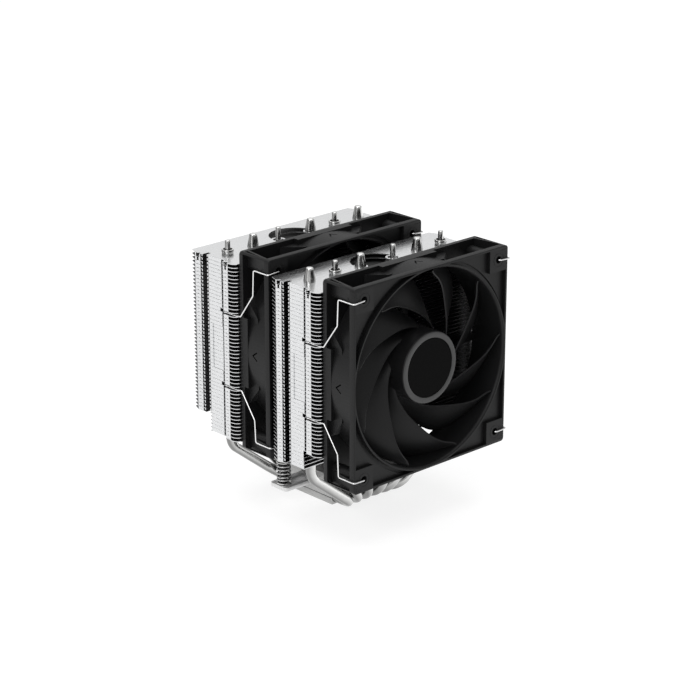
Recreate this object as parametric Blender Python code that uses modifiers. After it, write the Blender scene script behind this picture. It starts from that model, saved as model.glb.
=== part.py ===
"""Twin tower air cooler for a computer processor, as an assembly of separate parts.

Frame: metres, +Z up. The origin is the centre of the contact face under the base.
The front fan faces -Y. Left is -X.
"""

import math

import bmesh
import bpy
from mathutils import Matrix, Vector

MM = 0.001
GAP = 0.3 * MM  # clearance between parts that touch

# Fin stacks
FIN_HALF_WIDTH = 63.6 * MM
STACK_DEPTH = 40.0 * MM
STACK_Y = 35.0 * MM  # centre of each stack, front at -Y and rear at +Y
STACK_BOTTOM = 41.2 * MM
STACK_TOP = 149.2 * MM
FIN_COUNT = 16  # plates of the simplified stack, each stands for several thin fins
FIN_THICKNESS = 3.3 * MM
SIDE_WALL = 1.6 * MM  # the folded fin edges that close the sides
CLIP_GROOVE = (10.2 * MM, 14.0 * MM)  # from the stack's front face, for the fan clips
CLIP_GROOVE_DEPTH = 3.2 * MM
STEP_TOP = 51.6 * MM  # below this the outer part of each stack is cut away
STEP_INSET = 14.3 * MM
RECESS_RADIUS = 8.4 * MM
RECESS_DEPTH = 4.5 * MM

# Heat pipes
PIPE_RADIUS = 3.0 * MM
PIPE_TOP = 157.0 * MM
PIPE_X = (12.7 * MM, 32.0 * MM, 51.3 * MM)  # in the stacks, from the centre out
PIPE_BASE_PITCH = 6.9 * MM
PIPE_BASE_Z = 4.2 * MM
PIPE_KNEE_Z = 31.0 * MM
PIPE_BEND = 10.0 * MM

# Base and mounting bar
BASE_SIZE = (41.0 * MM, 38.6 * MM)
BASE_PLATE_TOP = 4.0 * MM
BASE_COVER_TOP = 18.0 * MM
BAR_BOTTOM = 11.5 * MM
BAR_TOP = 14.0 * MM
BAR_HALF_LENGTH = 45.7 * MM
BAR_HALF_WIDTH = 7.2 * MM
BAR_CORNER = 2.0 * MM
BAR_SCREW_X = 11.0 * MM
SCREW_X = 41.0 * MM
SCREW_BORE = 2.6 * MM

# Spring screws
SEAT_TOP = 15.2 * MM
SPRING_TOP = 27.0 * MM
SPRING_RADIUS = 3.85 * MM
SPRING_WIRE = 0.45 * MM
SPRING_TURNS = 5
WASHER_TOP = 28.1 * MM
WASHER_RADIUS = 4.35 * MM
SCREW_TOP = 31.6 * MM
SCREW_TIP = 6.6 * MM
SHANK_RADIUS = 1.9 * MM

# Fans
FAN_SIZE = 120.0 * MM
FAN_DEPTH = 25.0 * MM
FAN_Z = 96.8 * MM
FAN_FRONTS = {"front": -80.3 * MM, "rear": -10.3 * MM}  # y of each fan's front face
DUCT_RADIUS = 58.0 * MM
DUCT_WALL = 1.9 * MM
FLANGE = 3.6 * MM
CORNER_WEB = 7.6 * MM
HOLE_SPACING = 105.0 * MM
HOLE_RADIUS = 2.15 * MM
HUB_RADIUS = 21.2 * MM
BLADE_COUNT = 9
BLADE_TIP = 56.9 * MM
BLADE_SWEEP = math.radians(38.0)
BLADE_THICKNESS = 1.5 * MM

# Fan clips of spring wire
CLIP_WIRE = 0.65 * MM
CLIP_HIGH = 51.9 * MM  # heights above and below the fan's centre
CLIP_MID = 36.6 * MM
CLIP_LOW = 21.5 * MM

ROUND_STEPS = 24
SMALL_STEPS = 12


def clear_scene():
    for old in list(bpy.data.objects):
        bpy.data.objects.remove(old, do_unlink=True)


def new_collection(name):
    made = bpy.data.collections.new(name)
    bpy.context.scene.collection.children.link(made)
    return made


def new_material(name, color, roughness, metallic):
    made = bpy.data.materials.new(name)
    made.use_nodes = True
    shader = made.node_tree.nodes["Principled BSDF"]
    shader.inputs["Base Color"].default_value = (*color, 1.0)
    shader.inputs["Roughness"].default_value = roughness
    shader.inputs["Metallic"].default_value = metallic
    return made


clear_scene()
PARTS = new_collection("cpu_tower_cooler")
CUTTERS = new_collection("cutters")

ALUMINIUM = ((0.80, 0.81, 0.82), 0.32, 1.0)
NICKEL = ((0.74, 0.74, 0.73), 0.18, 1.0)
STEEL = ((0.62, 0.62, 0.62), 0.22, 1.0)
BLACK_PLASTIC = ((0.022, 0.022, 0.024), 0.45, 0.0)
DISC_BLACK = ((0.010, 0.010, 0.012), 0.25, 0.0)
MAGNET_GREY = ((0.09, 0.09, 0.10), 0.7, 0.0)
BRONZE = ((0.55, 0.36, 0.16), 0.4, 1.0)
COPPER = ((0.72, 0.36, 0.20), 0.35, 1.0)
BOARD_GREEN = ((0.02, 0.14, 0.06), 0.5, 0.0)


# ---------------------------------------------------------------- mesh helpers

def add_part(name, mesh, look, location=(0, 0, 0), parent=None):
    """Put a mesh in the scene as a named part with a material of its own."""
    part = bpy.data.objects.new(name, mesh)
    PARTS.objects.link(part)
    mesh.materials.clear()
    mesh.materials.append(new_material(name, *look))
    part.location = location
    part.parent = parent
    return part


def add_cutter(name, mesh, location=(0, 0, 0), parent=None):
    cutter = bpy.data.objects.new(name, mesh)
    CUTTERS.objects.link(cutter)
    cutter.hide_render = True
    cutter.display_type = "WIRE"
    cutter.location = location
    cutter.parent = parent
    return cutter


def add_pivot(name, location):
    pivot = bpy.data.objects.new(name, None)
    PARTS.objects.link(pivot)
    pivot.location = location
    return pivot


def combine(target, other, operation):
    step = target.modifiers.new(operation.lower(), "BOOLEAN")
    step.operation = operation
    step.object = other
    step.solver = "EXACT"


def mesh_from(build):
    """Run a bmesh recipe and return the mesh that it makes."""
    work = bmesh.new()
    build(work)
    bmesh.ops.recalc_face_normals(work, faces=work.faces)
    mesh = bpy.data.meshes.new("mesh")
    work.to_mesh(mesh)
    work.free()
    return mesh


def add_box(work, low, high):
    size = [b - a for a, b in zip(low, high)]
    centre = [(a + b) / 2 for a, b in zip(low, high)]
    place = Matrix.Translation(centre) @ Matrix.Diagonal((*size, 1.0))
    bmesh.ops.create_cube(work, size=1.0, matrix=place)


def box_mesh(*corners):
    """A mesh of one or more boxes, given as (low, high) pairs of corners."""
    def build(work):
        for low, high in corners:
            add_box(work, low, high)
    return mesh_from(build)


def add_rod(work, base, height, radius, steps, axis="Z"):
    """A solid cylinder that starts at base and runs along +Z or +Y."""
    turn = Matrix.Rotation(math.radians(-90), 4, "X") if axis == "Y" else Matrix()
    place = Matrix.Translation(base) @ turn @ Matrix.Translation((0, 0, height / 2))
    bmesh.ops.create_cone(work, cap_ends=True, segments=steps, radius1=radius,
                          radius2=radius, depth=height, matrix=place)


def rod_mesh(rods, steps, axis="Z"):
    """A mesh of cylinders, given as (base, height, radius)."""
    def build(work):
        for base, height, radius in rods:
            add_rod(work, base, height, radius, steps, axis)
    return mesh_from(build)


def slab_mesh(outline, bottom, top):
    """Extrude a closed flat outline from bottom to top."""
    curve = bpy.data.curves.new("outline", "CURVE")
    curve.dimensions = "2D"
    curve.fill_mode = "BOTH"
    curve.extrude = (top - bottom) / 2
    line = curve.splines.new("POLY")
    line.points.add(len(outline) - 1)
    line.use_cyclic_u = True
    for point, (x, y) in zip(line.points, outline):
        point.co = (x, y, 0, 1)
    holder = bpy.data.objects.new("outline", curve)
    bpy.context.scene.collection.objects.link(holder)
    graph = bpy.context.evaluated_depsgraph_get()
    mesh = bpy.data.meshes.new_from_object(holder.evaluated_get(graph))
    bpy.data.objects.remove(holder, do_unlink=True)
    work = bmesh.new()
    work.from_mesh(mesh)
    bmesh.ops.remove_doubles(work, verts=work.verts, dist=0.01 * MM)
    # Each flat end becomes a single face, so no sliver triangles are left along straight sides.
    ends = [face for face in work.faces if len({vert.co.z > 0 for vert in face.verts}) == 1]
    bmesh.ops.delete(work, geom=ends, context="FACES")
    bmesh.ops.holes_fill(work, edges=work.edges, sides=0)
    bmesh.ops.translate(work, verts=work.verts, vec=(0, 0, (bottom + top) / 2))
    bmesh.ops.recalc_face_normals(work, faces=work.faces)
    work.to_mesh(mesh)
    work.free()
    return mesh


def turned_part(name, profile, look, location, closed=False, steps=ROUND_STEPS, axis="Z", parent=None):
    """Turn a profile of (radius, height) points round Z, or round Y where height runs along +Y."""
    mesh = bpy.data.meshes.new(name)
    last = len(profile)
    edges = [(i, i + 1) for i in range(last - 1)] + ([(last - 1, 0)] if closed else [])
    mesh.from_pydata([(r, 0, h) for r, h in profile], edges, [])
    part = add_part(name, mesh, look, location, parent)
    if axis == "Y":
        part.rotation_euler = (math.radians(-90), 0, 0)
    screw = part.modifiers.new("turn", "SCREW")
    screw.steps = steps
    screw.render_steps = steps
    screw.use_merge_vertices = True
    screw.merge_threshold = 0.01 * MM
    screw.use_smooth_shade = False
    return part


def ring_profile(inner, outer, bottom, top):
    """The section of a ring, down its outer side first."""
    return [(outer, top), (outer, bottom), (inner, bottom), (inner, top)]


def wire_part(name, points, radius, look, location=(0, 0, 0), parent=None, scales=None):
    """A round wire or tube through points. Scales narrow or widen it at each point."""
    curve = bpy.data.curves.new(name, "CURVE")
    curve.dimensions = "3D"
    curve.bevel_depth = radius
    curve.bevel_resolution = 2
    curve.use_fill_caps = True
    line = curve.splines.new("POLY")
    line.points.add(len(points) - 1)
    for index, place in enumerate(points):
        line.points[index].co = (*place, 1)
        line.points[index].radius = scales[index] if scales else 1.0
    part = bpy.data.objects.new(name, curve)
    PARTS.objects.link(part)
    curve.materials.append(new_material(name, *look))
    part.location = location
    part.parent = parent
    return part


def rounded_path(corners, radius, steps=2):
    """Replace each inner corner of a path by an arc with the given radius."""
    path = [Vector(corners[0])]
    for before, here, after in zip(corners, corners[1:], corners[2:]):
        corner = Vector(here)
        back = (Vector(before) - corner).normalized()
        ahead = (Vector(after) - corner).normalized()
        half = back.angle(ahead) / 2
        reach = radius / math.tan(half)
        centre = corner + (back + ahead).normalized() * (radius / math.sin(half))
        start = corner + back * reach - centre
        end = corner + ahead * reach - centre
        sweep = start.angle(end)
        for step in range(steps + 1):
            part = step / steps
            mixed = start * math.sin((1 - part) * sweep) + end * math.sin(part * sweep)
            path.append(centre + mixed / math.sin(sweep))
    path.append(Vector(corners[-1]))
    return path


# ------------------------------------------------------------------ fin stacks

def fin_half_outline():
    """The right side of a fin, front to rear, from the stack's own centre."""
    front = -STACK_DEPTH / 2
    edge = FIN_HALF_WIDTH
    groove_front, groove_rear = CLIP_GROOVE
    return [
        (edge - 4.4 * MM, front),
        (edge - 1.4 * MM, front + 1.3 * MM),
        (edge, front + 4.2 * MM),
        (edge, front + groove_front),
        (edge - CLIP_GROOVE_DEPTH, front + groove_front),
        (edge - CLIP_GROOVE_DEPTH, front + groove_rear),
        (edge - 1.7 * MM, front + groove_rear),
        (edge - 1.7 * MM, front + 26.2 * MM),
        (edge, front + 26.9 * MM),
        (edge, front + 34.4 * MM),
        (edge - 2.2 * MM, front + STACK_DEPTH),
    ]


def fin_stack(name, side):
    """A stack of plates with folded sides; side is -1 at the front and 1 at the rear."""
    middle_y = side * STACK_Y
    half = fin_half_outline()
    outline = half + [(-x, y) for x, y in reversed(half)]
    outline = [(x, y + middle_y) for x, y in outline]
    stack = add_part(name, slab_mesh(outline, STACK_BOTTOM, STACK_TOP), ALUMINIUM)

    pitch = (STACK_TOP - STACK_BOTTOM - FIN_THICKNESS) / (FIN_COUNT - 1)
    inner = FIN_HALF_WIDTH - CLIP_GROOVE_DEPTH - SIDE_WALL
    reach = STACK_DEPTH
    slots = []
    for level in range(FIN_COUNT - 1):
        low = STACK_BOTTOM + level * pitch + FIN_THICKNESS
        high = STACK_BOTTOM + (level + 1) * pitch
        slots.append(((-inner, middle_y - reach, low), (inner, middle_y + reach, high)))
    combine(stack, add_cutter(name + "_slots", box_mesh(*slots)), "DIFFERENCE")

    height = STACK_TOP - STACK_BOTTOM + 2 * MM
    holes = []
    for x in PIPE_X:
        for sign in (-1, 1):
            base = (sign * x, middle_y, STACK_BOTTOM - MM)
            holes.append((base, height, 1.16 * (PIPE_RADIUS + GAP)))
    combine(stack, add_cutter(name + "_pipe_holes", rod_mesh(holes, 6)), "DIFFERENCE")

    outer = side * (STACK_Y + STACK_DEPTH / 2)
    inset = outer - side * STEP_INSET
    low = (-2 * FIN_HALF_WIDTH, min(inset, outer + side * MM), STACK_BOTTOM - MM)
    high = (2 * FIN_HALF_WIDTH, max(inset, outer + side * MM), STEP_TOP)
    combine(stack, add_cutter(name + "_step", box_mesh((low, high))), "DIFFERENCE")

    recess = rod_mesh([((0, middle_y, STACK_TOP - RECESS_DEPTH), 2 * RECESS_DEPTH, RECESS_RADIUS)], 12)
    combine(stack, add_cutter(name + "_recess", recess), "DIFFERENCE")
    return stack


# ------------------------------------------------------------------ heat pipes

def pipe_end(x, y, shape):
    """The top of a pipe as (point, scale) pairs, from the stack up to the tip."""
    tip = PIPE_TOP
    cone = [(tip - 8.5 * MM, 1.0), (tip - 7.5 * MM, 1.06), (tip, 0.64)]
    nipple = [(tip - 8.5 * MM, 1.0), (tip - 8.2 * MM, 1.1), (tip - 5.7 * MM, 1.1),
              (tip - 5.4 * MM, 0.45), (tip, 0.42)]
    return [((x, y, z), scale) for z, scale in (cone if shape == "cone" else nipple)]


def heat_pipe(number):
    """One of six U-shaped pipes, numbered from left to right."""
    sign = -1 if number <= 3 else 1
    rank = abs(number - 3.5) - 0.5  # 0 for the middle pair, 2 for the outer pair
    x = sign * PIPE_X[int(rank)]
    base_x = sign * (rank + 0.5) * PIPE_BASE_PITCH
    front, rear = ("cone", "nipple") if number % 2 else ("nipple", "cone")
    route = [
        (x, -STACK_Y, STACK_TOP - 10 * MM),
        (x, -STACK_Y, PIPE_KNEE_Z),
        (base_x, -STACK_Y, PIPE_BASE_Z),
        (base_x, STACK_Y, PIPE_BASE_Z),
        (x, STACK_Y, PIPE_KNEE_Z),
        (x, STACK_Y, STACK_TOP - 10 * MM),
    ]
    body = [(tuple(point), 1.0) for point in rounded_path(route, PIPE_BEND, steps=3)[1:-1]]
    start = list(reversed(pipe_end(x, -STACK_Y, front)))
    whole = start + body + pipe_end(x, STACK_Y, rear)
    points = [point for point, scale in whole]
    scales = [scale for point, scale in whole]
    return wire_part("heat_pipe_%d" % number, points, PIPE_RADIUS, NICKEL, scales=scales)


# ------------------------------------------------------------ base and mounting

def groove_cutter(name):
    length = BASE_SIZE[1] + 2 * MM
    grooves = []
    for index in range(6):
        x = (index - 2.5) * PIPE_BASE_PITCH
        grooves.append(((x, -length / 2, PIPE_BASE_Z), length, 1.04 * (PIPE_RADIUS + GAP)))
    return add_cutter(name, rod_mesh(grooves, 12, axis="Y"))


def base_block(name, bottom, top):
    half_x, half_y = BASE_SIZE[0] / 2, BASE_SIZE[1] / 2
    mesh = box_mesh(((-half_x, -half_y, bottom), (half_x, half_y, top)))
    block = add_part(name, mesh, NICKEL)
    combine(block, groove_cutter(name + "_grooves"), "DIFFERENCE")
    return block


def mounting():
    base_block("base_plate", 0, BASE_PLATE_TOP)
    cover = base_block("base_cover", BASE_PLATE_TOP + GAP, BASE_COVER_TOP)
    across = BASE_SIZE[0]
    wide = BAR_HALF_WIDTH + GAP
    tunnel = box_mesh(((-across, -wide, BAR_BOTTOM - GAP), (across, wide, BAR_TOP + GAP)))
    combine(cover, add_cutter("bar_tunnel", tunnel), "DIFFERENCE")
    bores = [((sign * BAR_SCREW_X, 0, BAR_TOP), BASE_COVER_TOP, 1.7 * MM) for sign in (-1, 1)]
    combine(cover, add_cutter("bar_screw_bores", rod_mesh(bores, SMALL_STEPS)), "DIFFERENCE")

    end, edge = BAR_HALF_LENGTH, BAR_HALF_WIDTH
    corner = [(end - BAR_CORNER, edge), (end, edge - BAR_CORNER)]
    right = corner + [(x, -y) for x, y in reversed(corner)]
    outline = right + [(-x, -y) for x, y in right]
    bar = add_part("crossbar", slab_mesh(outline, BAR_BOTTOM, BAR_TOP), STEEL)
    holes = [((sign * SCREW_X, 0, BAR_BOTTOM - MM), 5 * MM, SCREW_BORE) for sign in (-1, 1)]
    holes += [((sign * BAR_SCREW_X, 0, BAR_BOTTOM - MM), 5 * MM, 1.7 * MM) for sign in (-1, 1)]
    combine(bar, add_cutter("bar_holes", rod_mesh(holes, SMALL_STEPS)), "DIFFERENCE")

    head = BASE_COVER_TOP + GAP
    for label, sign in (("left", -1), ("right", 1)):
        profile = [(0, head + 1.6 * MM), (2.3 * MM, head + 1.6 * MM), (2.8 * MM, head + 1.0 * MM),
                   (2.8 * MM, head), (1.35 * MM, head), (1.35 * MM, BAR_BOTTOM), (0, BAR_BOTTOM)]
        place = (sign * BAR_SCREW_X, 0, 0)
        turned_part("crossbar_screw_" + label, profile, STEEL, place, steps=SMALL_STEPS)


def coil_points(radius, bottom, top, turns, steps):
    """A helix with a flat turn at each end."""
    points = []
    flat = 2 * 2 * SPRING_WIRE + 0.1 * MM
    total = turns * steps
    for step in range(total + 1):
        angle = 2 * math.pi * step / steps
        part = step / total
        lower = min(1.0, part * turns)
        upper = min(1.0, (1 - part) * turns)
        if lower < 1:
            rise = flat / 2 * lower
        elif upper < 1:
            rise = (top - bottom) - flat / 2 * upper
        else:
            middle = (part * turns - 1) / (turns - 2)
            rise = flat / 2 + (top - bottom - flat) * middle
        points.append((radius * math.cos(angle), radius * math.sin(angle), bottom + rise))
    return points


def spring_screw(label, sign):
    place = (sign * SCREW_X, 0, 0)
    pivot = add_pivot("screw_axis_" + label, place)
    groove = BAR_BOTTOM - GAP  # the clip sits in a groove under the bar
    profile = [
        (0, SCREW_TOP), (3.5 * MM, SCREW_TOP), (4.1 * MM, SCREW_TOP - 0.6 * MM),
        (4.1 * MM, WASHER_TOP + GAP), (SHANK_RADIUS, WASHER_TOP + GAP),
        (SHANK_RADIUS, groove), (1.3 * MM, groove), (1.3 * MM, groove - 0.9 * MM),
        (1.6 * MM, groove - 0.9 * MM), (1.6 * MM, SCREW_TIP + 0.8 * MM),
        (0.9 * MM, SCREW_TIP), (0, SCREW_TIP),
    ]
    screw = turned_part("spring_screw_" + label, profile, STEEL, (0, 0, 0), steps=16, parent=pivot)
    slot = box_mesh(((-5 * MM, -0.5 * MM, SCREW_TOP - 1.6 * MM), (5 * MM, 0.5 * MM, SCREW_TOP + MM)))
    combine(screw, add_cutter("screw_slot_" + label, slot, parent=pivot), "DIFFERENCE")

    seat = ring_profile(SHANK_RADIUS + GAP, WASHER_RADIUS + 0.1 * MM, BAR_TOP + GAP, SEAT_TOP)
    turned_part("spring_seat_" + label, seat, STEEL, place, closed=True, steps=16)

    washer = ring_profile(SHANK_RADIUS + GAP, WASHER_RADIUS, SPRING_TOP + GAP, WASHER_TOP)
    turned_part("spring_washer_" + label, washer, STEEL, (0, 0, 0), closed=True, steps=16, parent=pivot)

    bottom = SEAT_TOP + GAP + SPRING_WIRE
    path = coil_points(SPRING_RADIUS, bottom, SPRING_TOP - SPRING_WIRE, SPRING_TURNS, 8)
    wire_part("screw_spring_" + label, path, SPRING_WIRE, STEEL, parent=pivot)

    clip = ring_profile(1.3 * MM + GAP, 3.3 * MM, groove - 0.75 * MM, groove - 0.15 * MM)
    turned_part("screw_clip_" + label, clip, STEEL, (0, 0, 0), closed=True, steps=SMALL_STEPS, parent=pivot)


# ------------------------------------------------------------------------ fans
# Inside a fan, x runs across, y runs back from the front face and z runs up from the hub's axis.

def fan_frame(name, place):
    half = FAN_SIZE / 2
    corner = 3.0 * MM
    depth = FAN_DEPTH
    outline = [(half, -half + corner), (half, half - corner), (half - corner, half),
               (corner - half, half), (-half, half - corner), (-half, corner - half),
               (corner - half, -half), (half - corner, -half)]
    mesh = slab_mesh(outline, 0, depth)
    mesh.transform(Matrix.Rotation(math.radians(-90), 4, "X"))
    frame = add_part(name, mesh, BLACK_PLASTIC, place)

    # Open corners between the flanges, outside the round duct.
    pockets = box_mesh(((-half - MM, FLANGE, -half - MM), (half + MM, depth - FLANGE, half + MM)))
    pocket = add_cutter(name + "_pockets", pockets, place)
    duct = rod_mesh([((0, -MM, 0), depth + 2 * MM, DUCT_RADIUS + DUCT_WALL)], 48, axis="Y")
    combine(pocket, add_cutter(name + "_duct", duct, place), "DIFFERENCE")
    posts = []
    for a in (-1, 1):
        for b in (-1, 1):
            x, z = a * HOLE_SPACING / 2, b * HOLE_SPACING / 2
            posts.append(((x - 3.6 * MM, 0, z - 3.6 * MM), (x + 3.6 * MM, depth, z + 3.6 * MM)))
    for a in (-1, 1):
        for b in (-1, 1):
            # A web joins the flanges at each end of both sides.
            inner, outer = a * (half - 2 * MM), a * (half + 2 * MM)
            near, far = b * (half - CORNER_WEB), b * (half + 2 * MM)
            posts.append(((min(inner, outer), 0, min(near, far)), (max(inner, outer), depth, max(near, far))))
    combine(pocket, add_cutter(name + "_posts", box_mesh(*posts), place), "DIFFERENCE")
    combine(frame, pocket, "DIFFERENCE")

    bore = rod_mesh([((0, -MM, 0), depth + 2 * MM, DUCT_RADIUS)], 48, axis="Y")
    combine(frame, add_cutter(name + "_bore", bore, place), "DIFFERENCE")

    # The motor seat on four struts, with the tube that holds the bearing.
    strut_x = DUCT_RADIUS + MM
    struts = box_mesh(((-strut_x, depth - 3 * MM, -2 * MM), (strut_x, depth, 2 * MM)))
    cross = box_mesh(((-2 * MM, depth - 3 * MM, -strut_x), (2 * MM, depth, strut_x)))
    seat = rod_mesh([((0, depth - 3 * MM, 0), 3 * MM, 20.5 * MM)], 24, axis="Y")
    tube = rod_mesh([((0, 8 * MM, 0), depth - 9 * MM, 4.3 * MM)], 16, axis="Y")
    for label, piece in (("struts", struts), ("cross", cross), ("seat", seat), ("tube", tube)):
        combine(frame, add_cutter(name + "_" + label, piece, place), "UNION")
    socket = rod_mesh([((0, 7 * MM, 0), 15.2 * MM, 3.3 * MM)], 16, axis="Y")
    combine(frame, add_cutter(name + "_socket", socket, place), "DIFFERENCE")

    span = HOLE_SPACING / 2
    holes = [((a * span, -MM, b * span), depth + 2 * MM, HOLE_RADIUS) for a in (-1, 1) for b in (-1, 1)]
    combine(frame, add_cutter(name + "_holes", rod_mesh(holes, SMALL_STEPS, axis="Y"), place), "DIFFERENCE")


def blade_mesh():
    """Nine swept blades: each leads with its front edge, and runs back and clockwise from it."""
    rows, columns = 4, 3

    def blade_point(out, along, turn):
        radius = HUB_RADIUS - 0.9 * MM + out * (BLADE_TIP - HUB_RADIUS + 0.9 * MM)
        lead = turn + BLADE_SWEEP * out ** 1.15
        width = math.radians(35.0 - 3.0 * out)
        angle = lead - width * along
        front = (3.2 + 1.3 * out) * MM
        rear = (18.6 - 0.6 * out) * MM
        y = front + (rear - front) * along ** (1.0 - 0.25 * out)
        return Vector((-radius * math.sin(angle), y, radius * math.cos(angle)))

    def build(work):
        for blade in range(BLADE_COUNT):
            turn = 2 * math.pi * blade / BLADE_COUNT
            sheets = []
            for side in (-0.5, 0.5):
                grid = []
                for row in range(rows + 1):
                    line = []
                    for column in range(columns + 1):
                        point = blade_point(row / rows, column / columns, turn)
                        point.y += side * BLADE_THICKNESS
                        line.append(work.verts.new(point))
                    grid.append(line)
                sheets.append(grid)
            skin_sheets(work, *sheets)
    return mesh_from(build)


def skin_sheets(work, lower, upper):
    """Close two equal grids of vertices into one solid."""
    rows, columns = len(lower) - 1, len(lower[0]) - 1
    for grid in (lower, upper):
        for i in range(rows):
            for j in range(columns):
                work.faces.new((grid[i][j], grid[i + 1][j], grid[i + 1][j + 1], grid[i][j + 1]))
    rim = [(i, 0) for i in range(rows)] + [(rows, j) for j in range(columns)]
    rim += [(i, columns) for i in range(rows, 0, -1)] + [(0, j) for j in range(columns, 0, -1)]
    for (a, b), (c, d) in zip(rim, rim[1:] + rim[:1]):
        work.faces.new((lower[a][b], lower[c][d], upper[c][d], upper[a][b]))


def fan(label, front_y):
    place = (0, front_y, FAN_Z)
    name = label + "_fan_"
    fan_frame(name + "frame", place)
    axis = add_pivot(name + "axis", place)

    # Impeller: a cup that is open at the back, with a recess for the disc in its face.
    face, floor, inside, end = 1.5, 2.6, 4.4, 19.6
    outer, wall = HUB_RADIUS / MM, 19.5
    cup = [
        (0, 5.6), (1.8, 5.6), (1.8, 7.4), (3.2, 7.4), (3.2, inside), (wall, inside), (wall, end),
        (outer, end), (outer, face + 0.8), (outer - 0.8, face), (17.5, face), (17.5, floor), (0, floor),
    ]
    profile = [(r * MM, h * MM) for r, h in cup]
    hub = turned_part(name + "impeller", profile, BLACK_PLASTIC, (0, 0, 0), axis="Y", parent=axis)
    combine(hub, add_cutter(name + "blades", blade_mesh(), parent=axis), "UNION")

    def turned(piece, points, look, closed=False, steps=18, parent=axis):
        shape = [(r * MM, h * MM) for r, h in points]
        spot = (0, 0, 0) if parent else place
        turned_part(name + piece, shape, look, spot, closed=closed, steps=steps, axis="Y", parent=parent)

    turned("hub_disc", [(0, floor - 0.3), (17.2, floor - 0.3), (17.2, 1.7), (0, 1.7)], DISC_BLACK)
    turned("yoke", ring_profile(18.3, 19.2, 4.8, 19.4), STEEL, closed=True)
    turned("magnet", ring_profile(16.4, 18.0, 6.2, 18.8), MAGNET_GREY, closed=True)
    shaft = [(0, 21.2), (1.5, 21.2), (1.5, 20.3), (1.0, 20.3), (1.0, 19.5), (1.5, 19.5), (1.5, 5.9), (0, 5.9)]
    turned("shaft", shaft, STEEL, steps=SMALL_STEPS)
    turned("shaft_clip", ring_profile(1.3, 2.7, 19.6, 20.1), STEEL, closed=True, steps=SMALL_STEPS)
    turned("bearing", ring_profile(1.8, 3.0, 8.6, 19.2), BRONZE, closed=True, steps=SMALL_STEPS, parent=None)
    turned("circuit_board", ring_profile(4.6, 17.0, 20.3, 21.5), BOARD_GREEN, closed=True, parent=None)
    stator(name + "stator", place)


def stator(name, place):
    """Four wound poles round the bearing tube."""
    def build(work):
        add_rod(work, (0, 9.0 * MM, 0), 10.4 * MM, 7.5 * MM, 16, "Y")
    core = add_part(name, mesh_from(build), COPPER, place)
    arms = []
    for a, b in ((13.5, 3.2), (3.2, 13.5)):
        arms.append(((-a * MM, 9.6 * MM, -b * MM), (a * MM, 18.8 * MM, b * MM)))
    for index, arm in enumerate(arms):
        combine(core, add_cutter("%s_arm_%d" % (name, index), box_mesh(arm), place), "UNION")
    shoes = []
    for a, b in ((1, 0), (-1, 0), (0, 1), (0, -1)):
        low = (a * 14.2 - 1.2 - 3.2 * abs(b), 9.3, b * 14.2 - 1.2 - 3.2 * abs(a))
        high = (a * 14.2 + 1.2 + 3.2 * abs(b), 19.1, b * 14.2 + 1.2 + 3.2 * abs(a))
        shoes.append(([v * MM for v in low], [v * MM for v in high]))
    combine(core, add_cutter(name + "_shoes", box_mesh(*shoes), place), "UNION")
    bore = rod_mesh([((0, 8 * MM, 0), 12 * MM, 4.75 * MM)], 16, axis="Y")
    combine(core, add_cutter(name + "_bore", bore, place), "DIFFERENCE")


def fan_clip(label, sign, front_y):
    """A wire hook from the fan's corner holes round its side to the slot in the fins."""
    hook_x = HOLE_SPACING / 2
    face = -CLIP_WIRE - GAP
    side = FAN_SIZE / 2 + CLIP_WIRE + GAP
    over = FIN_HALF_WIDTH + CLIP_WIRE + GAP
    groove_x = FIN_HALF_WIDTH - CLIP_GROOVE_DEPTH + CLIP_WIRE + GAP
    groove_y = FAN_DEPTH + GAP + sum(CLIP_GROOVE) / 2 - 0.4 * MM
    upper = [
        (hook_x, 2.8 * MM, HOLE_SPACING / 2),
        (hook_x, face, HOLE_SPACING / 2),
        (side, face, CLIP_HIGH),
        (side, 11.6 * MM, CLIP_HIGH),
        (side, 12.3 * MM, CLIP_MID),
        (side, FAN_DEPTH - 1.6 * MM, CLIP_LOW),
        (over, FAN_DEPTH + 4.0 * MM, CLIP_LOW),
        (over, groove_y, CLIP_LOW),
        (groove_x, groove_y, CLIP_LOW),
    ]
    corners = upper + [(x, y, -z) for x, y, z in reversed(upper)]
    # The origin is on the clip's turning line, at the hook.
    corners = [(sign * (x - hook_x), y - face, z) for x, y, z in corners]
    place = (sign * hook_x, front_y + face, FAN_Z)
    wire_part("fan_clip_" + label, rounded_path(corners, 1.2 * MM, steps=1), CLIP_WIRE, STEEL, place)


fin_stack("fin_stack_front", -1)
fin_stack("fin_stack_rear", 1)
for pipe in range(1, 7):
    heat_pipe(pipe)
mounting()
for word, direction in (("left", -1), ("right", 1)):
    spring_screw(word, direction)
for place_word, start in FAN_FRONTS.items():
    fan(place_word, start)
    for word, direction in (("left", -1), ("right", 1)):
        fan_clip(place_word + "_" + word, direction, start)
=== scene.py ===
"""Looks of the twin tower processor cooler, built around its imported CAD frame."""

import math

import bmesh
import bpy
from mathutils import Matrix, Vector


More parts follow.
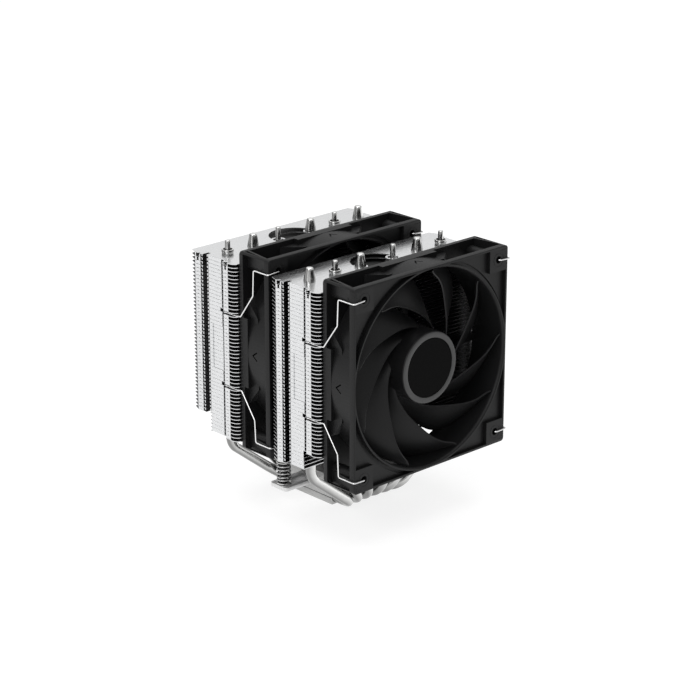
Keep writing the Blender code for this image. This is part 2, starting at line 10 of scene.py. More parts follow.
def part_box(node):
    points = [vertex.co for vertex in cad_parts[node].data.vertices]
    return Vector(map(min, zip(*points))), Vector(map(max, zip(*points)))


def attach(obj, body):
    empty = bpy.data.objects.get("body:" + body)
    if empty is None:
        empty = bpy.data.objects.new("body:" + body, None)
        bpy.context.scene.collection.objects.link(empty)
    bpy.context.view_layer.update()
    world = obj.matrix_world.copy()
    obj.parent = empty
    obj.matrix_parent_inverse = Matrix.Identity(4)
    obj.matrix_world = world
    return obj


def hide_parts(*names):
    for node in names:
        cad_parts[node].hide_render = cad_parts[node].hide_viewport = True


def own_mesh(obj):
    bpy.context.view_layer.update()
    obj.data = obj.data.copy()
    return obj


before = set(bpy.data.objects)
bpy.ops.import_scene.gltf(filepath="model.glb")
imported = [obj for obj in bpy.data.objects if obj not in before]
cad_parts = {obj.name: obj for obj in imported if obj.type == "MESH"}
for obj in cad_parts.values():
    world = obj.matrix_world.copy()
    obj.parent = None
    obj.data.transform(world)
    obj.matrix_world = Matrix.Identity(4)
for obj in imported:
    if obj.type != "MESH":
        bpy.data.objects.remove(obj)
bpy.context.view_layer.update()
MM = 0.001
SCENE = bpy.context.scene


# ------------------------------------------------------------------- materials

AWAY, TOWARDS = -0.4, 0.7  # how far a normal leans where the painted shade is full, and where it ends


def shader_of(look):
    return look.node_tree.nodes["Principled BSDF"]


def new_surface(name, dark, light, roughness, metallic=0.0, grain=1.0, stretch=(1, 1, 1), bump=0.0,
                below=1.0, facing_up=(0, 0, 1)):
    """A Principled finish whose colour, roughness and relief vary with a fine grain, in mm.

    Surfaces that face away from facing_up get painted shade: they are darkened to the given part of their
    colour.
    """
    made = bpy.data.materials.new(name)
    made.use_nodes = True
    nodes, links = made.node_tree.nodes, made.node_tree.links
    shader = shader_of(made)
    shader.inputs["Metallic"].default_value = metallic
    place = nodes.new("ShaderNodeTexCoord")
    mapping = nodes.new("ShaderNodeMapping")
    mapping.inputs["Scale"].default_value = [1 / (grain * MM * along) for along in stretch]
    noise = nodes.new("ShaderNodeTexNoise")
    noise.inputs["Scale"].default_value = 1.0
    noise.inputs["Detail"].default_value = 3.0
    links.new(place.outputs["Object"], mapping.inputs["Vector"])
    links.new(mapping.outputs["Vector"], noise.inputs["Vector"])

    ramp = nodes.new("ShaderNodeValToRGB")
    ramp.color_ramp.elements[0].position = 0.3
    ramp.color_ramp.elements[0].color = (*dark, 1)
    ramp.color_ramp.elements[1].position = 0.7
    ramp.color_ramp.elements[1].color = (*light, 1)
    links.new(noise.outputs["Fac"], ramp.inputs["Fac"])
    colour = ramp.outputs["Color"]
    # Painted shade: the colour is scaled down on faces that turn away from facing_up.
    if below < 1.0:
        facing = nodes.new("ShaderNodeNewGeometry")
        lean = nodes.new("ShaderNodeVectorMath")
        lean.operation = "DOT_PRODUCT"
        lean.inputs[1].default_value = facing_up
        links.new(facing.outputs["Normal"], lean.inputs[0])
        share = nodes.new("ShaderNodeMapRange")
        share.inputs["From Min"].default_value = AWAY
        share.inputs["From Max"].default_value = TOWARDS
        share.inputs["To Min"].default_value = below
        share.inputs["To Max"].default_value = 1.0
        links.new(lean.outputs["Value"], share.inputs["Value"])
        shaded_colour = nodes.new("ShaderNodeVectorMath")
        shaded_colour.operation = "SCALE"
        links.new(colour, shaded_colour.inputs[0])
        links.new(share.outputs["Result"], shaded_colour.inputs["Scale"])
        colour = shaded_colour.outputs["Vector"]
    links.new(colour, shader.inputs["Base Color"])

    spread = nodes.new("ShaderNodeMapRange")
    spread.inputs["From Min"].default_value = 0.3
    spread.inputs["From Max"].default_value = 0.7
    spread.inputs["To Min"].default_value = roughness[0]
    spread.inputs["To Max"].default_value = roughness[1]
    links.new(noise.outputs["Fac"], spread.inputs["Value"])
    links.new(spread.outputs["Result"], shader.inputs["Roughness"])

    if bump:
        relief = nodes.new("ShaderNodeBump")
        relief.inputs["Strength"].default_value = 0.5
        relief.inputs["Distance"].default_value = bump * MM
        links.new(noise.outputs["Fac"], relief.inputs["Height"])
        links.new(relief.outputs["Normal"], shader.inputs["Normal"])
    return made


# The fins' sides and undersides get painted shade, darker than their tops.
ALUMINIUM = new_surface("fin_aluminium", (0.78, 0.79, 0.80), (0.86, 0.865, 0.87), (0.20, 0.28), 1.0,
                        grain=0.5, stretch=(14, 1, 1), bump=0.004, below=0.75)
# A near-black copy of the fin metal: painted shade for fin undersides and hollows in pipes, screws and
# springs.
PAINTED_SHADE = new_surface("painted_shade", (0.05, 0.05, 0.05), (0.07, 0.07, 0.07), (0.5, 0.6), 1.0, grain=0.5)
# A darker copy of the fin metal: painted shade on the tops of the fins under the top one.
SHADED_ALUMINIUM = new_surface("fin_plate_painted_shade", (0.15, 0.15, 0.155), (0.19, 0.19, 0.195), (0.38, 0.48), 1.0,
                             grain=0.5, stretch=(14, 1, 1), bump=0.004)
# The pipes get painted shade on sides turned away from facing_up, so they look lit from the upper right.
NICKEL = new_surface("pipe_nickel", (0.82, 0.82, 0.81), (0.88, 0.88, 0.87), (0.14, 0.22), 1.0,
                     grain=3.0, bump=0.01, below=0.3, facing_up=(0.6, -0.45, 0.66))
BASE_NICKEL = new_surface("base_nickel", (0.42, 0.42, 0.415), (0.48, 0.48, 0.475), (0.42, 0.52), 0.3,
                          grain=0.3, stretch=(1, 20, 1), bump=0.006)
BAR_STEEL = new_surface("bar_steel", (0.70, 0.70, 0.70), (0.76, 0.76, 0.76), (0.34, 0.44), 0.6,
                        grain=0.4, stretch=(10, 1, 1), bump=0.004)
SPRING_STEEL = new_surface("spring_steel", (0.42, 0.42, 0.42), (0.50, 0.50, 0.50), (0.18, 0.26), 1.0,
                           grain=0.6, bump=0.004)
SCREW_STEEL = new_surface("screw_steel", (0.60, 0.60, 0.59), (0.70, 0.70, 0.69), (0.18, 0.26), 1.0,
                          grain=0.6, bump=0.004)
CHROME = new_surface("clip_wire", (0.80, 0.80, 0.80), (0.86, 0.86, 0.86), (0.10, 0.16), 1.0, grain=1.0)
PLASTIC = new_surface("fan_plastic", (0.005, 0.005, 0.0053), (0.007, 0.007, 0.0073), (0.40, 0.50),
                      grain=0.35, bump=0.012)
shader_of(PLASTIC).inputs["Specular IOR Level"].default_value = 0.25
FILM = new_surface("disc_film", (0.003, 0.003, 0.003), (0.004, 0.004, 0.004), (0.35, 0.45), grain=2.0)
shader_of(FILM).inputs["Specular IOR Level"].default_value = 0.02
# A lighter copy of the fan plastic: a painted sheen on the hub's flat ring.
SHEEN_PLASTIC = new_surface("hub_rim_painted_sheen", (0.030, 0.030, 0.030), (0.034, 0.034, 0.034), (0.40, 0.50), grain=0.35)
MAGNET = new_surface("magnet_rubber", (0.05, 0.05, 0.055), (0.09, 0.09, 0.10), (0.6, 0.8),
                     grain=0.5, bump=0.02)
BRASS = new_surface("bearing_brass", (0.48, 0.32, 0.14), (0.62, 0.42, 0.20), (0.35, 0.45), 1.0, grain=0.5)
COPPER = new_surface("winding_copper", (0.62, 0.28, 0.14), (0.78, 0.42, 0.24), (0.25, 0.4), 1.0,
                     grain=0.4, stretch=(1, 6, 1), bump=0.05)
BOARD = new_surface("board_green", (0.014, 0.10, 0.04), (0.022, 0.15, 0.065), (0.4, 0.55), grain=1.5)


# ---------------------------------------------------------------- mesh helpers

def holder_of(data):
    holder = bpy.data.objects.new("holder", data)
    SCENE.collection.objects.link(holder)
    return holder


def baked(holder):
    """The shape that a curve or a modified mesh makes, as a mesh; its holder goes."""
    graph = bpy.context.evaluated_depsgraph_get()
    mesh = bpy.data.meshes.new_from_object(holder.evaluated_get(graph))
    bpy.data.objects.remove(holder, do_unlink=True)
    return mesh


def mesh_from(build):
    work = bmesh.new()
    build(work)
    bmesh.ops.recalc_face_normals(work, faces=work.faces)
    mesh = bpy.data.meshes.new("mesh")
    work.to_mesh(mesh)
    work.free()
    return mesh


def stamp(work, mesh, matrix):
    """Add a moved copy of a mesh to a bmesh."""
    before = len(work.verts)
    work.from_mesh(mesh)
    work.verts.ensure_lookup_table()
    bmesh.ops.transform(work, matrix=matrix, verts=work.verts[before:])


def add_box(work, low, high):
    size = [b - a for a, b in zip(low, high)]
    centre = [(a + b) / 2 for a, b in zip(low, high)]
    bmesh.ops.create_cube(work, size=1.0, matrix=Matrix.Translation(centre) @ Matrix.Diagonal((*size, 1.0)))


def box_mesh(*corners):
    def build(work):
        for low, high in corners:
            add_box(work, low, high)
    return mesh_from(build)


def rod_mesh(rods, steps, axis="Z"):
    """Cylinders or cones, given as (base, height, radius) or (base, height, first, last)."""
    turn = Matrix.Rotation(math.radians(-90), 4, "X") if axis == "Y" else Matrix()

    def build(work):
        for base, height, *radii in rods:
            place = Matrix.Translation(base) @ turn @ Matrix.Translation((0, 0, height / 2))
            bmesh.ops.create_cone(work, cap_ends=True, segments=steps, radius1=radii[0],
                                  radius2=radii[-1], depth=height, matrix=place)
    return mesh_from(build)


def plate_mesh(outlines, thickness, bevel=0.0):
    """A flat plate centred on z = 0, from an outer outline and its holes."""
    curve = bpy.data.curves.new("plate", "CURVE")
    curve.dimensions = "2D"
    curve.fill_mode = "BOTH"
    curve.extrude = thickness / 2 - bevel
    curve.bevel_depth = bevel
    curve.bevel_resolution = 1
    curve.offset = -bevel
    for outline in outlines:
        line = curve.splines.new("POLY")
        line.points.add(len(outline) - 1)
        line.use_cyclic_u = True
        for point, (x, y) in zip(line.points, outline):
            point.co = (x, y, 0, 1)
    flat = baked(holder_of(curve))

    def build(work):
        work.from_mesh(flat)
        bmesh.ops.remove_doubles(work, verts=work.verts, dist=0.001 * MM)
    return mesh_from(build)


def carve(mesh, *steps):
    """Apply boolean steps to a mesh, each an (operation, mesh) pair."""
    target = holder_of(mesh)
    tools = []
    for operation, tool_mesh in steps:
        tool = holder_of(tool_mesh)
        tools.append(tool)
        step = target.modifiers.new("step", "BOOLEAN")
        step.operation = operation
        step.object = tool
        step.solver = "EXACT"
    result = baked(target)
    for tool in tools:
        bpy.data.objects.remove(tool, do_unlink=True)
    return result


def turned_mesh(profile, steps=64, axis="Z", closed=False):
    """Turn a profile of (radius, height) round Z, or round Y where height runs along +Y."""
    edges = [(i, i + 1) for i in range(len(profile) - 1)]
    if closed:
        edges.append((len(profile) - 1, 0))
    mesh = bpy.data.meshes.new("profile")
    mesh.from_pydata([(r, 0, h) for r, h in profile], edges, [])
    holder = holder_of(mesh)
    screw = holder.modifiers.new("turn", "SCREW")
    screw.steps = screw.render_steps = steps
    screw.use_merge_vertices = True
    screw.merge_threshold = 0.01 * MM
    mesh = baked(holder)
    work = bmesh.new()
    work.from_mesh(mesh)
    if axis == "Y":
        bmesh.ops.transform(work, matrix=Matrix.Rotation(math.radians(-90), 4, "X"), verts=work.verts)
    bmesh.ops.recalc_face_normals(work, faces=work.faces)
    work.to_mesh(mesh)
    work.free()
    return mesh


def wire_mesh(points, radius, sides=6):
    """A round wire or tube through points."""
    curve = bpy.data.curves.new("wire", "CURVE")
    curve.dimensions = "3D"
    curve.bevel_depth = radius
    curve.bevel_resolution = sides
    curve.use_fill_caps = True
    line = curve.splines.new("POLY")
    line.points.add(len(points) - 1)
    for index, place in enumerate(points):
        line.points[index].co = (*place, 1)
    return baked(holder_of(curve))


def rounded_path(corners, radius, steps):
    """Replace each inner corner of a path by an arc with the given radius."""
    path = [Vector(corners[0])]
    for before, here, after in zip(corners, corners[1:], corners[2:]):
        corner = Vector(here)
        back = (Vector(before) - corner).normalized()
        ahead = (Vector(after) - corner).normalized()
        half = back.angle(ahead) / 2
        reach = radius / math.tan(half)
        centre = corner + (back + ahead).normalized() * (radius / math.sin(half))
        start = corner + back * reach - centre
        end = corner + ahead * reach - centre
        sweep = start.angle(end)
        for step in range(steps + 1):
            part = step / steps
            mixed = start * math.sin((1 - part) * sweep) + end * math.sin(part * sweep)
            path.append(centre + mixed / math.sin(sweep))
    path.append(Vector(corners[-1]))
    return path


def arc(centre, radius, first, last, steps):
    """Points on a circle, from one angle to another in degrees."""
    angles = [math.radians(first + (last - first) * step / steps) for step in range(steps + 1)]
    return [(centre[0] + radius * math.cos(a), centre[1] + radius * math.sin(a)) for a in angles]


def ring(centre, radius, steps):
    return arc(centre, radius, 0, 360, steps)[:-1]


def place(name, mesh, look, body, slot, nodes, location=(0, 0, 0), sharp=35):
    """Show a mesh as a piece that rides on a body and stands for CAD nodes."""
    mesh.shade_smooth()
    mesh.set_sharp_from_angle(angle=math.radians(sharp))
    mesh.materials.clear()
    mesh.materials.append(look)
    piece = bpy.data.objects.new(name, mesh)
    SCENE.collection.objects.link(piece)
    piece.location = location
    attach(piece, body)
    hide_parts(*nodes)
    return piece


# ------------------------------------------------------------------ fin stacks

FIN_COUNT = 49
FIN_PITCH = 2.25
FIN_THICK = 0.4
FOLD = 0.5  # radius of the bend between a fin and its folded tabs
TAB_DROP = 1.95
EDGE, MIDDLE, GROOVE, NOTCH = 63.6, 61.9, 61.1, 58.5  # how far out the fins reach
TABS = [(EDGE, 5.7, 9.9), (MIDDLE, 13.3, 24.8), (EDGE, 29.9, 34.6)]
EARS = [(MIDDLE, 25.3, 26.0), (EDGE - 0.5, 28.5, 29.2)]  # small tabs on both sides of the rear notch
EAR_DROP = 1.1
PRESSED = 0.4  # depth of the rectangle pressed into each side
PRESSED_LEVELS = range(18, 30)  # fins are counted down from the top one
PRESSED_SPAN = (13.3, 22.0)
CLIP_LEVELS = (13, 33)  # the fan clips hook in under these fins
CLIP_ROOM = 1.5  # how much of a middle tab is cut off for a clip
RECESS = (15.3, 14.2)  # radius of the opening in the two top fins
NOTCH_WIDTHS = (1.5, 0.8)  # half the V notch's width at the same fins
STEP_FINS = 5  # the lowest fins are cut back
SHADED = 7.5  # the tops of the fins this near the top one get the darkest painted shade
PIPE_X = (12.7, 32.0, 51.3)
PIPE_ROW = 20.0  # the pipes' distance behind a stack's front


def fin_half(first=0.0, last=40.0, pressed=0.0, notch=0.0):
    """The right side of a fin, front to rear, in mm from the stack's front."""
    fold_line, edge_line = MIDDLE - FOLD, EDGE - FOLD
    cuts = [[(edge_line, middle - notch), (edge_line - 1.6, middle), (edge_line, middle + notch)]
            if notch else [] for middle in (7.8, 32.25)]
    points = arc((59.3, 4.3), 4.3, -90, 0, 8) + [
        (EDGE, 5.7), (edge_line, 5.7), *cuts[0], (edge_line, 9.9), (EDGE, 9.9), (EDGE, 10.2),
        (GROOVE, 10.2), (GROOVE, 13.3), (fold_line - pressed, 13.3), (fold_line - pressed, 22.0),
        (fold_line, 22.01), (fold_line, 24.8), (MIDDLE, 24.8), (MIDDLE, 26.0), (NOTCH, 26.1),
        (NOTCH, 28.3), (EDGE - 0.5, 28.4), (EDGE - 0.5, 29.3), (edge_line, 29.9), *cuts[1],
        (edge_line, 34.6), (EDGE, 34.6), (61.4, 40.0),
    ]
    if first > 0:
        points = [(MIDDLE - FOLD, first)] + [p for p in points if p[1] > first]
    if last < 40:
        points = [p for p in points if p[1] < last] + [(MIDDLE, last)]
    return points


def recess_outline(big):
    """The opening in the two top fins, with a tongue round each of the middle pipes."""
    small, x = 4.3, PIPE_X[0]
    cut = math.degrees(math.acos((big ** 2 + x ** 2 - small ** 2) / (2 * big * x)))
    height = big * math.sin(math.radians(cut))
    lean = math.degrees(math.asin(height / small))
    here = (0, PIPE_ROW)
    return (arc(here, big, cut, 180 - cut, 24)
            + arc((-x, PIPE_ROW), small, 180 - lean, lean - 180, 20)[1:-1]
            + arc(here, big, 180 + cut, 360 - cut, 24)
            + arc((x, PIPE_ROW), small, -lean, lean - 360, 20)[1:-1])


def fin_mesh(first=0.0, last=40.0, recess=0.0, pressed=0.0, notch=0.0):
    half = fin_half(first, last, pressed, notch)
    outline = half + [(-x, y) for x, y in reversed(half)]
    outlines = [outline] + [ring((s * x, PIPE_ROW), 3.12, 24) for x in PIPE_X for s in (-1, 1)]
    if recess:
        outlines.append(recess_outline(recess))
    return plate_mesh([[(x * MM, y * MM) for x, y in line] for line in outlines], FIN_THICK * MM)


def tab_meshes(first, last, low=-TAB_DROP, lock=True):
    """A folded tab and its bend, with x outwards from the tab's face and y along the fin."""
    middle = (first + last) / 2
    bottom = [(first, low), (last, low)]
    if lock:
        bottom = [(first, low)] + [(middle + x, low + z) for x, z in
                                   ((-0.42, 0), (-0.3, 0.32), (0.3, 0.32), (0.42, 0))] + [(last, low)]
    shape = [(last, FOLD * -0.6), (first, FOLD * -0.6)] + bottom
    face = plate_mesh([[(x * MM, y * MM) for x, y in shape]], FIN_THICK * MM)
    # The plate's own x runs along the fin and its y runs up.
    upright = Matrix(((0, 0, 1, -FIN_THICK / 2 * MM), (1, 0, 0, 0), (0, 1, 0, 0), (0, 0, 0, 1)))
    face.transform(upright)
    bend = arc((-FOLD, -0.3), FOLD, 90, 0, 5) + arc((-FOLD, -0.3), FOLD - FIN_THICK, 0, 90, 5)
    strip = plate_mesh([[(x * MM, y * MM) for x, y in bend]], (last - first) * MM)
    strip.transform(Matrix(((1, 0, 0, 0), (0, 0, 1, middle * MM), (0, 1, 0, 0), (0, 0, 0, 1))))
    return [face, strip]


def tab_spans(level, out, first, last):
    """The parts of a tab that hang down from a fin, and whether the tab has a lock slot."""
    if level < len(NOTCH_WIDTHS) and out == EDGE:
        # A V notch marks the top of both outer columns.
        wide = NOTCH_WIDTHS[level]
        middle = (first + last) / 2
        return [(first, middle - wide), (middle + wide, last)], False
    if out == MIDDLE and level in CLIP_LEVELS:
        return [(first + CLIP_ROOM, last)], False
    if out == MIDDLE and level in PRESSED_LEVELS:
        return [(PRESSED_SPAN[1], last)], False
    return [(first, last)], out == EDGE


def tower(name, node, step_first, step_last):
    low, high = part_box(node)
    front = low.y
    top = high.z - FIN_THICK / 2 * MM
    plain, stepped, pressed = fin_mesh(), fin_mesh(step_first, step_last), fin_mesh(pressed=PRESSED)
    recessed = [fin_mesh(recess=radius, notch=wide) for radius, wide in zip(RECESS, NOTCH_WIDTHS)]

    def fin_at(level):
        if level < len(recessed):
            return recessed[level]
        if level >= FIN_COUNT - STEP_FINS:
            return stepped
        return pressed if level in PRESSED_LEVELS else plain

    def hang(work, meshes, out, height):
        """Stamp a tab's meshes on both sides of a fin."""
        for mesh in meshes:
            for sign in (-1, 1):
                flip = Matrix.Diagonal((sign, 1, 1, 1))
                stamp(work, mesh, Matrix.Translation((sign * out * MM, front, height)) @ flip)

    def build(work):
        for level in range(FIN_COUNT):
            height = top - level * FIN_PITCH * MM
            stamp(work, fin_at(level), Matrix.Translation((0, front, height)))
            if level == FIN_COUNT - 1:
                break  # nothing hangs from the last fin
            over_low = level + 1 >= FIN_COUNT - STEP_FINS  # the fin below is cut back
            for out, first, last in EARS:
                if not over_low or step_first < first and last < step_last:
                    hang(work, tab_meshes(first, last, -EAR_DROP, False), out, height)
            for out, first, last in TABS:
                if over_low:
                    first, last = max(first, step_first), min(last, step_last)
                    if last - first < 1:
                        continue
                if level in CLIP_LEVELS and (out, first) == TABS[0][:2]:
                    continue  # the fan clip passes here
                if out == MIDDLE and level in PRESSED_LEVELS:
                    # A shallow rectangle is pressed into the side.
                    hang(work, tab_meshes(*PRESSED_SPAN, lock=False), out - PRESSED, height)
                spans, lock = tab_spans(level, out, first, last)
                for begin, end in spans:
                    hang(work, tab_meshes(begin, end, lock=lock), out, height)

    piece = place(name, mesh_from(build), ALUMINIUM, "root", "fin_aluminium", [node], sharp=30)
    piece.data.materials.append(SHADED_ALUMINIUM)
    piece.data.materials.append(PAINTED_SHADE)
    # Painted shade: the fins' undersides, and the tops of the fins under the top one, darkest near the top
    # recess.
    for face in piece.data.polygons:
        if face.normal.z < -0.9:
            face.material_index = 2
        elif face.normal.z > 0.9 and face.center.z < high.z - MM:
            face.material_index = 2 if face.center.z > high.z - SHADED * MM else 1


tower("fins_front", "fin_stack_front", 14.3, 40.0)
tower("fins_rear", "fin_stack_rear", 0.0, 25.7)


# ------------------------------------------------------------------ heat pipes

PIPE_RADIUS = 3.0
PIPE_Y = 35.0  # the pipes' rows in front of and behind the base's middle
PIPE_PITCH, PIPE_BASE_Z = 6.9, 4.2  # the pipes' spacing and height in the base
PIPE_KNEE = 31.0
TIP_LENGTH = 9.0


def pipe_tip(tip, shape):
    """The crimped end of a pipe: a plain cone, a collar with a pin in a sunk ring, or a long pin."""
    if shape == "cone":
        profile = [(0, 9.5), (3.1, 9.5), (3.3, 8.6), (3.45, 7.9), (3.4, 7.2), (2.3, 1.2), (2.2, 0.6),
                   (1.9, 0.15), (1.3, 0), (0, 0.15)]
    elif shape == "pin":
        profile = [(0, 9.5), (3.1, 9.5), (3.1, 8.9), (2.8, 8.5), (1.75, 8.3), (1.6, 7.8), (1.55, 0.6),
                   (1.35, 0.15), (0.9, 0), (0, 0.1)]
    else:
        profile = [(0, 9.5), (3.1, 9.5), (3.1, 8.4), (3.3, 7.6), (3.55, 6.6), (3.55, 5.6), (3.35, 5.3),
                   (2.8, 5.3), (2.5, 6.2), (1.75, 6.2), (1.6, 5.4), (1.55, 0.6), (1.35, 0.15), (0.9, 0),
                   (0, 0.1)]
    return turned_mesh([(r * MM, tip - drop * MM) for r, drop in profile], 32)


def heat_pipe(number):
    node = "heat_pipe_%d" % number
    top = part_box(node)[1].z
    sign = -1 if number <= 3 else 1
    rank = int(abs(number - 3.5) - 0.5)  # 0 for the two middle pipes
    x, y = sign * PIPE_X[rank] * MM, PIPE_Y * MM
    base_x = sign * (rank + 0.5) * PIPE_PITCH * MM
    base_z, knee, high_z = PIPE_BASE_Z * MM, PIPE_KNEE * MM, top - TIP_LENGTH * MM
    pin = "nipple" if rank else "pin"
    front, rear = ("cone", pin) if number % 2 else (pin, "cone")
    route = [(x, -y, high_z), (x, -y, knee), (base_x, -y, base_z), (base_x, y, base_z), (x, y, knee),
             (x, y, high_z)]
    tube = wire_mesh(rounded_path(route, 10 * MM, 10), PIPE_RADIUS * MM, sides=10)

    def build(work):
        work.from_mesh(tube)
        stamp(work, pipe_tip(top, front), Matrix.Translation((x, -y, 0)))
        stamp(work, pipe_tip(top, rear), Matrix.Translation((x, y, 0)))

    piece = place("pipe_%d" % number, mesh_from(build), NICKEL, "root", "pipe_nickel", [node], sharp=50)
    piece.data.materials.append(PAINTED_SHADE)
    for face in piece.data.polygons:
        # The sunk ring round a pin gets painted shade.
        drop = (top - face.center.z) / MM
        reach = math.hypot(face.center.x - x, abs(face.center.y) - y) / MM
        face.material_index = int(rank > 0 and 5.35 < drop < 6.3 and 1.6 < reach < 2.9)


for index in range(1, 7):
    heat_pipe(index)


# ------------------------------------------------------------ base and mounting

SPRING_X, BAR_SCREW_X = 41.0, 11.0  # how far out the spring screws and the bar's own screws are
BAR_BORE = 1.7
TIP_CUT = 2.4  # a spring screw's tip is this much shorter than its CAD solid


def bevelled_box(low, high, width):
    def build(work):
        add_box(work, low, high)
        bmesh.ops.bevel(work, geom=list(work.edges), offset=width, segments=2, profile=0.5, affect="EDGES")
    return mesh_from(build)


def base_blocks():
    grooves = [(((i - 2.5) * PIPE_PITCH * MM, -30 * MM, PIPE_BASE_Z * MM), 60 * MM, 3.15 * MM)
               for i in range(6)]
    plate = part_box("base_plate")
    mesh = carve(bevelled_box(*plate, 0.25 * MM), ("DIFFERENCE", rod_mesh(grooves, 32, "Y")))
    place("cold_plate", mesh, BASE_NICKEL, "root", "base_nickel", ["base_plate"])
    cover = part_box("base_cover")
    bar_low, bar_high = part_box("crossbar")
    tunnel = box_mesh(((-30 * MM, bar_low.y - 0.3 * MM, bar_low.z - 0.3 * MM),
                       (30 * MM, bar_high.y + 0.3 * MM, bar_high.z + 0.3 * MM)))
    bores = [((s * BAR_SCREW_X * MM, 0, bar_high.z), 20 * MM, BAR_BORE * MM) for s in (-1, 1)]
    mesh = carve(bevelled_box(*cover, 0.5 * MM), ("DIFFERENCE", rod_mesh(grooves, 32, "Y")),
                 ("DIFFERENCE", tunnel), ("DIFFERENCE", rod_mesh(bores, 24)))
    place("pipe_clamp", mesh, BASE_NICKEL, "root", "base_nickel", ["base_cover"])


def cross_bar():
    low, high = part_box("crossbar")
    x, y, corner = high.x / MM, high.y / MM, 2.0
    outline = []
    for turn, (a, b) in enumerate(((1, 1), (-1, 1), (-1, -1), (1, -1))):
        outline += arc((a * (x - corner), b * (y - corner)), corner, 90 * turn, 90 * turn + 90, 6)
    lines = ([outline] + [ring((s * SPRING_X, 0), 2.6, 32) for s in (-1, 1)]
             + [ring((s * BAR_SCREW_X, 0), BAR_BORE, 24) for s in (-1, 1)])
    outlines = [[(a * MM, b * MM) for a, b in line] for line in lines]
    mesh = plate_mesh(outlines, high.z - low.z, bevel=0.25 * MM)
    mesh.transform(Matrix.Translation((0, 0, (low.z + high.z) / 2)))
    place("mounting_bar", mesh, BAR_STEEL, "root", "bar_steel", ["crossbar"])


def washer_mesh(low, high, bore, bevel=0.2):
    outer = (high.x - low.x) / 2 / MM
    bottom, top = low.z / MM, high.z / MM
    profile = [(bore, top), (bore, bottom), (outer - bevel, bottom), (outer, bottom + bevel),
               (outer, top - bevel), (outer - bevel, top)]
    return turned_mesh([(r * MM, h * MM) for r, h in profile], 48, closed=True)


def coil(radius, bottom, top, turns, wire):
    """Points of a spring's wire, whose first and last turn lie flat."""
    points = []
    steps = 36
    flat = wire * 1.05
    for step in range(int(turns * steps) + 1):
        turn = step / steps
        angle = 2 * math.pi * turn
        if turn < 1:
            rise = flat * turn
        elif turn > turns - 1:
            rise = top - bottom - flat * (turns - turn)
        else:
            rise = flat + (top - bottom - 2 * flat) * (turn - 1) / (turns - 2)
        points.append((radius * math.cos(angle), radius * math.sin(angle), bottom + rise))
    return points


def cross(reach, half_width, bottom):
    """Boolean steps for the cross in a screw's head, open to the top."""
    return [("DIFFERENCE", box_mesh(((-x * MM, -y * MM, bottom * MM), (x * MM, y * MM, (bottom + 9) * MM))))
            for x, y in ((reach, half_width), (half_width, reach + 0.01))]


def spring_screw(side):
    low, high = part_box("spring_screw_" + side)
    x = (low.x + high.x) / 2
    top, tip = high.z / MM, low.z / MM + TIP_CUT
    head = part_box("spring_washer_" + side)[1].z / MM + 0.3
    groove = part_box("crossbar")[0].z / MM - 0.3
    profile = [(0, top - 0.05), (2.6, top), (3.4, top), (3.8, top - 0.15), (4.05, top - 0.45),
               (4.1, top - 0.8), (4.1, head + 0.2), (3.9, head), (1.9, head), (1.9, groove), (1.3, groove), (1.3, groove - 0.9),
               (1.6, groove - 0.9), (1.6, tip + 0.9), (1.4, tip + 0.5), (0.9, tip), (0, tip)]
    mesh = turned_mesh([(r * MM, h * MM) for r, h in profile], 48)
    mesh = carve(mesh, *cross(2.1, 0.45, top - 1.8))
    piece = place("screw_" + side, mesh, SCREW_STEEL, "spring_screw_" + side, "screw_steel",
                  ["spring_screw_" + side], (x, 0, 0), sharp=30)
    piece.data.materials.append(PAINTED_SHADE)
    for face in piece.data.polygons:
        # The shank inside the spring gets painted shade.
        face.material_index = int(face.center.xy.length < 2 * MM and groove < face.center.z / MM < head)

    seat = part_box("spring_seat_" + side)
    place("seat_" + side, washer_mesh(*seat, 2.2), SCREW_STEEL, "root", "screw_steel",
          ["spring_seat_" + side], (x, 0, 0), sharp=30)
    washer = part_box("spring_washer_" + side)
    place("washer_" + side, washer_mesh(*washer, 2.2), SCREW_STEEL, "spring_washer_" + side, "screw_steel",
          ["spring_washer_" + side], (x, 0, 0), sharp=30)
    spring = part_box("screw_spring_" + side)
    wire = 0.55 * MM
    points = coil(3.75 * MM, spring[0].z + wire, spring[1].z - wire, 5.5, 2 * wire)
    piece = place("spring_" + side, wire_mesh(points, wire, sides=4), SPRING_STEEL, "root",
                  "spring_steel", ["screw_spring_" + side], (x, 0, 0), sharp=60)
    piece.data.materials.append(PAINTED_SHADE)
    for face in piece.data.polygons:
        face.material_index = int(face.normal.xy.dot(face.center.xy) < 0)  # painted shade on the inside of the coil
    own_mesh(piece)

    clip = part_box("screw_clip_" + side)
    place("retainer_" + side, washer_mesh(*clip, 1.6, 0.12), SCREW_STEEL, "spring_screw_" + side,
          "screw_steel", ["screw_clip_" + side], (x, 0, 0), sharp=30)


def bar_screw(side):
    node = "crossbar_screw_" + side
    low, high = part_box(node)
    top, bottom = high.z / MM, low.z / MM
    profile = [(0, top), (1.6, top), (2.3, top - 0.25), (2.8, top - 0.9), (2.8, top - 1.6), (1.35, top - 1.6),
               (1.35, bottom), (0, bottom)]
    mesh = turned_mesh([(r * MM, h * MM) for r, h in profile], 36)
    place("bar_screw_" + side, carve(mesh, *cross(1.4, 0.3, top - 1)), SCREW_STEEL, "root", "screw_steel",
          [node], ((low.x + high.x) / 2, 0, 0), sharp=30)


base_blocks()
cross_bar()
for word in ("left", "right"):
    spring_screw(word)
    bar_screw(word)


# ------------------------------------------------------------------------ fans
# Inside a fan, x runs across, y runs back from the front face and z runs up from the hub's axis.

HALF, DEPTH = 60.0, 25.0
BORE, BARREL = 58.0, 59.9
RIM, PAD = 58.7, 45.5  # inner side of the outer rim, and of the square corner pads
HOLE = 52.5


def fan_box(*corners):
    return box_mesh(*[([v * MM for v in low], [v * MM for v in high]) for low, high in corners])


def fan_rod(steps, *rods):
    return rod_mesh([([v * MM for v in base], *[v * MM for v in sizes]) for base, *sizes in rods], steps, "Y")


